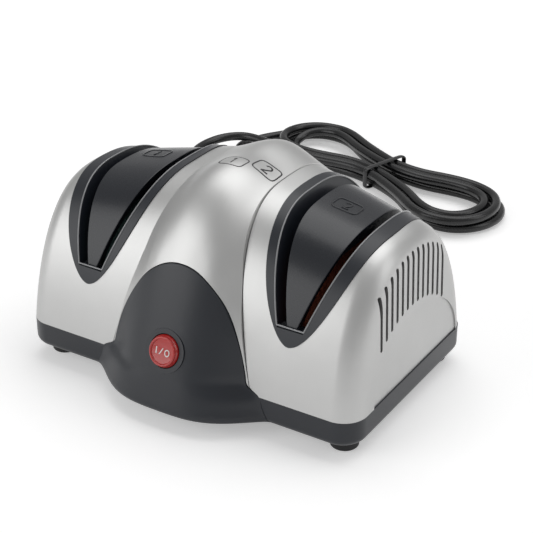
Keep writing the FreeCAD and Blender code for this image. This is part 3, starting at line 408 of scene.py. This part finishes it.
def badge(name, number, carrier, centre, normal, half, high, wide, deep, material, slot_name):
    """Ribbons laid over the carrier's plane at the centre, then wrapped on to it and thickened."""
    normal = np.asarray(normal) / np.linalg.norm(normal)
    across = np.cross((0, 1, 0), normal)
    across /= np.linalg.norm(across)
    along = np.cross(normal, across)
    outline = np.stack(superellipse(FRAME_POWER, 72), 1) * half
    strokes = [stroke(outline, wide, closed=True)]
    strokes += [stroke(path, wide * DIGIT_WEIGHT) for path in digit_paths(number, high)]
    flat, faces = drawing(strokes)
    place = np.asarray(centre) + flat[:, :1] * across + flat[:, 1:] * along + LAID_FROM * normal
    piece = thin_piece(name, place, faces, material)
    piece.data.shade_smooth()
    wrap = piece.modifiers.new("laid_on", "SHRINKWRAP")
    wrap.target = parts[carrier]
    wrap.wrap_method = "PROJECT"
    wrap.wrap_mode = "ABOVE_SURFACE"
    wrap.use_negative_direction = True
    wrap.use_positive_direction = True
    wrap.use_project_z = True
    wrap.offset = deep * MM
    thick = piece.modifiers.new("ink_depth", "SOLIDIFY")
    thick.thickness = (deep + SUNK_IN) * MM
    thick.offset = -1
    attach(piece, "housing")


ink = moulded("badge_ink", (0.018, 0.018, 0.020), rough=0.5, grain=1800, depth=0.01)
badge("badge_one", 1, "centre_cover", centre=(-1.5, 1.7, 123.1), normal=(-0.062, 0.084, 0.995),
      half=(7.2, 5.6), high=6.8, wide=0.65, deep=INK_DEEP, material=ink, slot_name="slate_plastic")
badge("badge_two", 2, "centre_cover", centre=(13.9, 9.5, 118.5), normal=(0.405, 0.081, 0.911),
      half=(7.4, 6.2), high=7.8, wide=0.85, deep=INK_DEEP, material=ink, slot_name="slate_plastic")
raised = {"half": (7.6, 5.6), "high": 6.6, "wide": 0.9, "deep": RAISED_DEEP,
          "material": smooth_dark, "slot_name": "guide_plastic"}
badge("guide_mark_one", 1, "left_guide", centre=(-64.1, 18.6, 106.8), normal=(-0.159, 0.0, 0.987), **raised)
badge("guide_mark_two", 2, "right_guide", centre=(61.3, 13.4, 107.4), normal=(0.159, 0.0, 0.987), **raised)

# Collar: a flat ring of slate plastic set into the bulge round the push button.
# It stands a little proud of the bulge, so its edge catches a thin light line.
finish_parts(slate, "button_collar")

# Push button: a red translucent cap with a raised rim round a shallow dished face.
# It slides in the collar on a spring, and the white I and O on its face move with it.
BUTTON_Y = -68.24
BUTTON_Z = 41.4
BULGE_LEAN = 0.294
BULGE_CURVE = 0.000916
BULGE_FOOT_Z = 10.0
LEAN = math.atan(BULGE_LEAN + 2 * BULGE_CURVE * (BUTTON_Z - BULGE_FOOT_Z))
OUT = np.array([0.0, -math.cos(LEAN), math.sin(LEAN)])
UP = np.array([0.0, math.sin(LEAN), math.cos(LEAN)])
ACROSS = np.array([1.0, 0.0, 0.0])
MIDDLE = np.array([0.0, BUTTON_Y, BUTTON_Z])
CAP_R = 8.8
CAP_BACK = -4.0
SHOULDER_H = 0.6
SHOULDER_IN = 0.75
SHOULDER_RISE = 1.6
LIP_AT_R = 7.35
LIP_AT_H = 2.15
LIP_HALF_WIDE = 0.72
LIP_RISE = 0.8
FACE_R = 6.5
FACE_H = 2.1
FACE_STEP = 0.05
FACE_DISH = 0.25


def turned(profile, around=96):
    """Rings of a surface of revolution about the button's axis, from radii and heights along it."""
    radius, height = np.asarray(profile, float).T
    t = np.linspace(0, 2 * math.pi, around, endpoint=False)[:, None]
    ring = np.cos(t) * ACROSS + np.sin(t) * UP
    return MIDDLE + radius[:, None, None] * ring + height[:, None, None] * OUT


red = moulded("red_button", (0.50, 0.018, 0.015), rough=0.24, grain=1600, depth=0.015)
red_shader = red.node_tree.nodes["Principled BSDF"].inputs
red_shader["Subsurface Weight"].default_value = 0.15
red_shader["Subsurface Scale"].default_value = 0.002
red_shader["Coat Weight"].default_value = 0.4
side_wall = [(0.0, CAP_BACK), (CAP_R, CAP_BACK), (CAP_R, SHOULDER_H)]
shoulder = [(CAP_R - SHOULDER_IN * s, SHOULDER_H + SHOULDER_RISE * s) for s in (0.35, 0.7, 1.0)]
bow = np.radians(np.linspace(20, 160, 9))
lip = [(LIP_AT_R + LIP_HALF_WIDE * math.cos(a), LIP_AT_H + LIP_RISE * math.sin(a)) for a in bow]
step = [(FACE_R, FACE_H + 0.02), (FACE_R - 0.5, FACE_H - FACE_STEP)]
face = [(FACE_R * s, FACE_H - FACE_STEP - FACE_DISH * (1 - s * s)) for s in (0.75, 0.5, 0.25, 0.0)]
cap = skin("power_button_cap", turned(side_wall + shoulder + lip + step + face), red, ends="poles")
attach(cap, "button")
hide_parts("power_button")

MARK_LIFT = 0.02
MARK_THICK = 0.15
white_ink = moulded("white_ink", (0.86, 0.84, 0.82), rough=0.4, grain=1800, depth=0.01)
upright = stroke([(-3.75, -1.85), (-3.85, 0.0), (-3.95, 1.85)], wide=0.62)
slash = stroke([(-1.8, -1.9), (-0.85, -0.05), (0.1, 1.8)], wide=0.55)
oval = np.stack(superellipse(2.0, 40), 1) * (1.35, 1.65) + (2.85, -0.3)
rows, faces = drawing([upright, slash, stroke(oval, wide=0.58, closed=True)])
share = np.linalg.norm(rows, axis=1) / FACE_R
heights = FACE_H + MARK_LIFT - FACE_DISH * (1 - share * share)
on_cap = MIDDLE + rows[:, :1] * ACROSS + rows[:, 1:] * UP + heights[:, None] * OUT
button_marks = thin_piece("button_marks", on_cap, faces, white_ink)
thick = button_marks.modifiers.new("ink_depth", "SOLIDIFY")
thick.thickness = MARK_THICK * MM
thick.offset = 0
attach(button_marks, "button")

# Mains cord: one length of round black flex, from the strain relief over the floor into a tied hank.
# It runs on from the hank to the plug behind the body; its turns are the same loop as in the frame.
# The brass blades of the plug and the lead inside the tray get their finish here too.
CORD_D = 6.4
CORD_R = CORD_D / 2
EXIT = (-46.0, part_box("strain_relief")[1].y / MM, 17.0)
HANK_AT = (-44.0, 261.125)
HANK_TURN = math.radians(-18.4)
HANK_HALF = 105.0
HANK_WIDE = 47.5
HANK_SKEW = 2.0
HANK_PINCH = 0.75
HANK_PINCH_LONG = 50.0
HANK_TURNS = 3.875
HANK_LAYER = 2.0
HANK_CLIMB = 0.3
HANK_SQUARE = 0.035
HANK_SLIP = -4.0
HANK_STEP = 7.55
HANK_SPREAD = 0.15
HANK_LIFT = 7.35
HANK_FLOOR_GAP = 1.0


def hank_climb(turns):
    """0 on the lower layer and 1 on the upper one, with a smooth step between them."""
    climb = np.clip((turns - HANK_LAYER + HANK_CLIMB / 2) / HANK_CLIMB, 0, 1)
    return climb * climb * (3 - 2 * climb)


def hank_loop(turns):
    """Long rounded loop: cosine along and sine across, pinched at the tie.

    A little of the third wave in both makes its ends squarer.
    """
    a = 2 * math.pi * turns
    along = -HANK_HALF * (np.cos(a) - HANK_SQUARE * np.cos(3 * a)) / (1 - HANK_SQUARE)
    wide = HANK_WIDE + HANK_SKEW * along / HANK_HALF
    across = wide * (np.sin(a) + HANK_SQUARE * np.sin(3 * a)) / (1 - HANK_SQUARE)
    across = across * (1 - HANK_PINCH * np.exp(-(along / HANK_PINCH_LONG) ** 2))
    return np.stack([along, across + HANK_SLIP * hank_climb(turns) * (along / HANK_HALF) ** 2], -1)


def hank_flat(turns):
    """The loop moved inward along its own normal, one step per turn on the lower layer.

    On the upper layer it comes outward again by the same step.
    """
    here = hank_loop(turns)
    ahead = hank_loop(turns + 0.001) - hank_loop(turns - 0.001)
    ahead /= np.linalg.norm(ahead, axis=1)[:, None]
    inward = np.stack([ahead[:, 1], -ahead[:, 0]], 1)
    spread = 1 + HANK_SPREAD * (here[:, 0] / HANK_HALF) ** 2
    depth = HANK_STEP * spread * np.minimum(turns, 2 * HANK_LAYER - turns)
    return here + inward * depth[:, None]


def behind_body(along, across, height):
    """Point of the hank's own plane, turned and moved to its place on the floor behind the body."""
    c, s = math.cos(HANK_TURN), math.sin(HANK_TURN)
    x = HANK_AT[0] + along * c - across * s
    y = HANK_AT[1] + along * s + across * c
    return np.stack([x, y, height], 1)


turns = np.linspace(0, HANK_TURNS, 71)
flat = hank_flat(turns)
rise = CORD_R + HANK_FLOOR_GAP + HANK_LIFT * hank_climb(turns)
hank = behind_body(flat[:, 0], flat[:, 1], rise)
FLOOR_Z = CORD_R + 0.15
first = (hank[1] - hank[0]) / np.linalg.norm(hank[1] - hank[0])
last = (hank[-1] - hank[-2]) / np.linalg.norm(hank[-1] - hank[-2])
start, end = hank[0], hank[-1]
lead = [EXIT, (EXIT[0], EXIT[1] + 15, 17.0), (EXIT[0] - 3, EXIT[1] + 34, 9.5),
        (EXIT[0] - 14, EXIT[1] + 56, FLOOR_Z + 0.6), (EXIT[0] - 33, EXIT[1] + 82, FLOOR_Z),
        (EXIT[0] - 58, EXIT[1] + 106, FLOOR_Z), (EXIT[0] - 85, EXIT[1] + 126, FLOOR_Z),
        (start[0] - first[0] * 30 - 5, start[1] - first[1] * 56, FLOOR_Z), tuple(start - first * 26)]
PLUG_AT = (-166.0, 190.125, 8.5)
tail = [tuple(end + last * 16), (end[0] - 31, end[1] + 4, end[2]), (end[0] - 44, end[1] - 5, end[2] - 1),
        (end[0] - 50, end[1] - 21, end[2] - 2), (end[0] - 49, end[1] - 38, PLUG_AT[2] + 0.4),
        (PLUG_AT[0], PLUG_AT[1] + 16, PLUG_AT[2]), PLUG_AT]
route = np.concatenate([lead, hank, tail]) * MM
line = bpy.data.curves.new("mains_cord", "CURVE")
line.dimensions = "3D"
spline = line.splines.new("NURBS")
spline.points.add(len(route) - 1)
spline.points.foreach_set("co", np.concatenate([route, np.ones((len(route), 1))], 1).ravel())
spline.order_u = 3
spline.use_endpoint_u = True
spline.resolution_u = 8
line.bevel_depth = CORD_R * MM
line.bevel_resolution = 6
line.use_fill_caps = True
flex = moulded("cord_sheath", (0.0035, 0.0037, 0.0045), rough=0.27, grain=500, depth=0.004, spread=0.04)
line.materials.append(flex)
cord = placed("mains_cord", line)
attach(cord, "housing")
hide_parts("power_cord", "cord_hank", "cord_tail")
finish_parts(flex, "mains_lead")
brass = moulded("plated_brass", (0.72, 0.62, 0.40), rough=0.25, metallic=0.95, grain=400, depth=0.008)
finish_parts(brass, "plug_blades")

# Strain relief: a tapered rubber sleeve with rings all along it, moulded round the cord where it
# leaves the tray. Its radius falls from the tray to its tip, and each ring stands up as a rounded step.
RELIEF_LONG = 34.0
RELIEF_R = 5.6
RELIEF_TIP_R = 3.9
RELIEF_RINGS = 8
RELIEF_GROOVE = 0.45
RELIEF_EDGE = 1.6
RELIEF_PLAIN = 1 / 16


def along_y(lengthwise, half_x, half_z, middle_x, middle_z, power, around):
    """Rings of a body along y: superellipses of these half sizes, one for each place lengthwise."""
    c, s = superellipse(power, around)
    x = middle_x + half_x[:, None] * c
    z = middle_z + half_z[:, None] * s
    return np.stack([x, np.broadcast_to(lengthwise[:, None], x.shape), z], -1)


sleeve_rubber = moulded("sleeve_rubber", (0.011, 0.011, 0.012), rough=0.5, grain=900, depth=0.02)
run = np.linspace(0, 1, 200)
swell = np.clip(RELIEF_EDGE * np.sin(2 * math.pi * RELIEF_RINGS * run - math.pi / 2), -1, 1)
ringed = (run > RELIEF_PLAIN) * (run < 1 - RELIEF_PLAIN)
radius = RELIEF_R + (RELIEF_TIP_R - RELIEF_R) * run - RELIEF_GROOVE * (1 - swell) / 2 * ringed
rings = along_y(EXIT[1] - RELIEF_LONG * (1 - run), radius, radius, EXIT[0], EXIT[2], power=2.0, around=48)
sleeve = skin("strain_relief_sleeve", rings, sleeve_rubber, ends="capped")
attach(sleeve, "housing")
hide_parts("strain_relief")

# Cord tie: a band of black plastic drawn round the waist of the hank, where it is pinched.
# It is a superellipse just outside the strands, which are the quadratic spline through the route.
TIE_HALF_LONG = 2.2
TIE_HALF_THICK = 0.55
TIE_CROWN = 0.15
TIE_SIDE_GAP = 0.7
TIE_FLOOR_GAP = 0.6
TIE_TOP_GAP = 1.1
TIE_POWER = 9.0
tie_plastic = moulded("tie_plastic", (0.010, 0.010, 0.011), rough=0.33, grain=1200, depth=0.004)
u = np.linspace(0, 1, 12, endpoint=False)[:, None, None]
before, at, after = flat[:-2], flat[1:-1], flat[2:]
strands = (1 - u) ** 2 / 2 * before + (1 + 2 * u - 2 * u * u) / 2 * at + u * u / 2 * after
waist = strands[np.abs(strands[..., 0]) < TIE_HALF_LONG][:, 1]
waist_middle = (waist.max() + waist.min()) / 2
waist_half = (waist.max() - waist.min()) / 2 + CORD_R + TIE_SIDE_GAP
tie_top = rise.max() + CORD_R + TIE_TOP_GAP
tie_middle = (TIE_FLOOR_GAP + tie_top) / 2
tie_half = (tie_top - TIE_FLOOR_GAP) / 2
wide, tall = superellipse(TIE_POWER, 96)
rings = []
for a in np.linspace(0, 2 * math.pi, 12, endpoint=False):
    out = TIE_HALF_THICK * math.cos(a)
    along = np.full(96, TIE_HALF_LONG * math.sin(a) * (1 - TIE_CROWN * math.cos(a) ** 2))
    rings.append(behind_body(along, waist_middle + (waist_half + out) * wide,
                             tie_middle + (tie_half + out) * tall))
tie = skin("tie_band", np.stack(rings), tie_plastic, ends="joined")
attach(tie, "housing")
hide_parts("cord_tie")

# Plug: a plain black moulded body that narrows to the cord, with grip ridges on its sides, and two
# brass blades. Each section is a superellipse whose half sizes follow the length; it stands behind the body.
PLUG_POWER = 3.6
NECK_WIDE = 0.42
BODY_WIDE = 0.96
NECK_TALL = 0.62
NECK_SHARE = 0.45
GRIP_DEEP = 0.04
GRIP_RIDGES = 7
GRIP_FROM = 0.42
GRIP_TO = 0.86
NOSE_SHARE = 0.07
NOSE_IN = 0.06
BACK_SHARE = 0.04
BACK_IN = 0.25


def rounded_end(share, cut):
    """Quarter of an ellipse: 1 before the end begins, and less by the cut at its tip."""
    return 1 - cut + cut * np.sqrt(1 - np.clip(share, 0, 1) ** 2)


low, high = (np.array(corner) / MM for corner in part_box("plug_body"))
middle, half = (low + high) / 2, (high - low) / 2
run = np.linspace(0, 1, 160)
ease = np.clip(run / NECK_SHARE, 0, 1)
ease = ease * ease * (3 - 2 * ease)
gripped = (run > GRIP_FROM) * (run < GRIP_TO)
grip = GRIP_DEEP * np.clip(np.sin(2 * math.pi * GRIP_RIDGES * run), -0.3, 1) * gripped
ends = rounded_end((run - 1 + NOSE_SHARE) / NOSE_SHARE, NOSE_IN) * rounded_end(1 - run / BACK_SHARE, BACK_IN)
wide = half[0] * np.minimum((NECK_WIDE + (BODY_WIDE - NECK_WIDE) * ease + grip) * ends, 1)
tall = half[2] * (NECK_TALL + (1 - NECK_TALL) * ease) * ends
rings = along_y(high[1] - (high[1] - low[1]) * run, wide, tall, middle[0], middle[2], PLUG_POWER, around=64)
plug = skin("plug_moulding", rings, sleeve_rubber, ends="capped")
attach(plug, "housing")
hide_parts("plug_body")

# Floor: a plain white sheet that keeps the shadow near the body and turns pure white far from it.
# Its glow shows to camera and glossy rays only: it is seen in reflections and lights nothing else.
# The sizes from here on are in metres.
FLOOR_HALF = 6.0
GLOW_NEAR = 0.36
GLOW_NEAR_R = 0.5
GLOW_FAR_R = 1.5


def computed(tree, operation, *feeds):
    """Socket of a math node, fed by sockets or by plain numbers."""
    node = tree.nodes.new("ShaderNodeMath")
    node.operation = operation
    for socket, feed in zip(node.inputs, feeds):
        if isinstance(feed, float):
            socket.default_value = feed
        else:
            tree.links.new(feed, socket)
    return node.outputs["Value"]


floor_mesh = bpy.data.meshes.new("floor")
corners = [(x * FLOOR_HALF, y * FLOOR_HALF, 0) for x, y in ((-1, -1), (1, -1), (1, 1), (-1, 1))]
floor_mesh.from_pydata(corners, [], [(0, 1, 2, 3)])
floor = placed("floor", floor_mesh)
floor_white = bpy.data.materials.new("floor_white")
floor_white.use_nodes = True
tree = floor_white.node_tree
paper = tree.nodes["Principled BSDF"].inputs
paper["Base Color"].default_value = (0.93, 0.93, 0.93, 1)
paper["Roughness"].default_value = 0.9
paper["Specular IOR Level"].default_value = 0.1
paper["Emission Color"].default_value = (1, 1, 1, 1)
distance = tree.nodes.new("ShaderNodeVectorMath")
distance.operation = "LENGTH"
tree.links.new(tree.nodes.new("ShaderNodeTexCoord").outputs["Object"], distance.inputs[0])
glow = ranged(tree, distance.outputs["Value"], GLOW_NEAR, 1.0, near=GLOW_NEAR_R, far=GLOW_FAR_R)
ray = tree.nodes.new("ShaderNodeLightPath").outputs
seen = computed(tree, "MAXIMUM", ray["Is Camera Ray"], ray["Is Glossy Ray"])
tree.links.new(computed(tree, "MULTIPLY", glow, seen), paper["Emission Strength"])
floor_mesh.materials.append(floor_white)

# World: a dim white surround, which camera and transmission rays see at full white.
# Glossy rays see it at about half strength, because full white takes the silver paint's look away.
DIM_WORLD = 0.22
GLOSSY_SHARE = 0.35
world = bpy.data.worlds.new("studio")
bpy.context.scene.world = world
world.use_nodes = True
tree = world.node_tree
ray = tree.nodes.new("ShaderNodeLightPath").outputs
reflected = computed(tree, "MULTIPLY", ray["Is Glossy Ray"], GLOSSY_SHARE)
direct = computed(tree, "MAXIMUM", ray["Is Camera Ray"], reflected)
seen = computed(tree, "MAXIMUM", direct, ray["Is Transmission Ray"])
sky = tree.nodes["Background"].inputs
sky["Color"].default_value = (1, 1, 1, 1)
tree.links.new(ranged(tree, seen, DIM_WORLD, 1.0), sky["Strength"])

# Lamps: three soft rectangles, one above, one at the front left and one at the right.
# Each is turned to a point low in the body's middle.
LAMP_AIM = Vector((0.0, 0.0, 0.05))


def softbox(name, place, size, power):
    """Rectangular lamp of a given size and power in watts."""
    light = bpy.data.lights.new(name, "AREA")
    light.shape = "RECTANGLE"
    light.size, light.size_y = size
    light.energy = power
    lamp = placed(name, light)
    lamp.location = place
    lamp.rotation_euler = (LAMP_AIM - Vector(place)).to_track_quat("-Z", "Y").to_euler()


softbox("softbox_above", place=(0.0, 0.45, 1.15), size=(1.5, 1.0), power=8.0)
softbox("softbox_front", place=(-0.80, -1.10, 0.62), size=(1.1, 1.1), power=7.0)
softbox("softbox_right", place=(1.15, 0.45, 0.7), size=(0.6, 0.9), power=2.4)

# Camera: square to the direction in which the sharpener is seen, from the front right and above.
# Its place and lens were worked out from pairs of points that mirror each other about the middle.
VIEW_ALONG = Vector((-0.46896, 0.74991, -0.46672))
camera = placed("camera", bpy.data.cameras.new("camera"))
camera.data.lens = 97.14
camera.data.sensor_width = 36.0
camera.data.clip_start = 0.05
camera.location = (0.3848, -0.583575, 0.4293)
camera.rotation_euler = VIEW_ALONG.to_track_quat("-Z", "Y").to_euler()
bpy.context.scene.camera = camera
bpy.context.scene.view_settings.view_transform = "Standard"
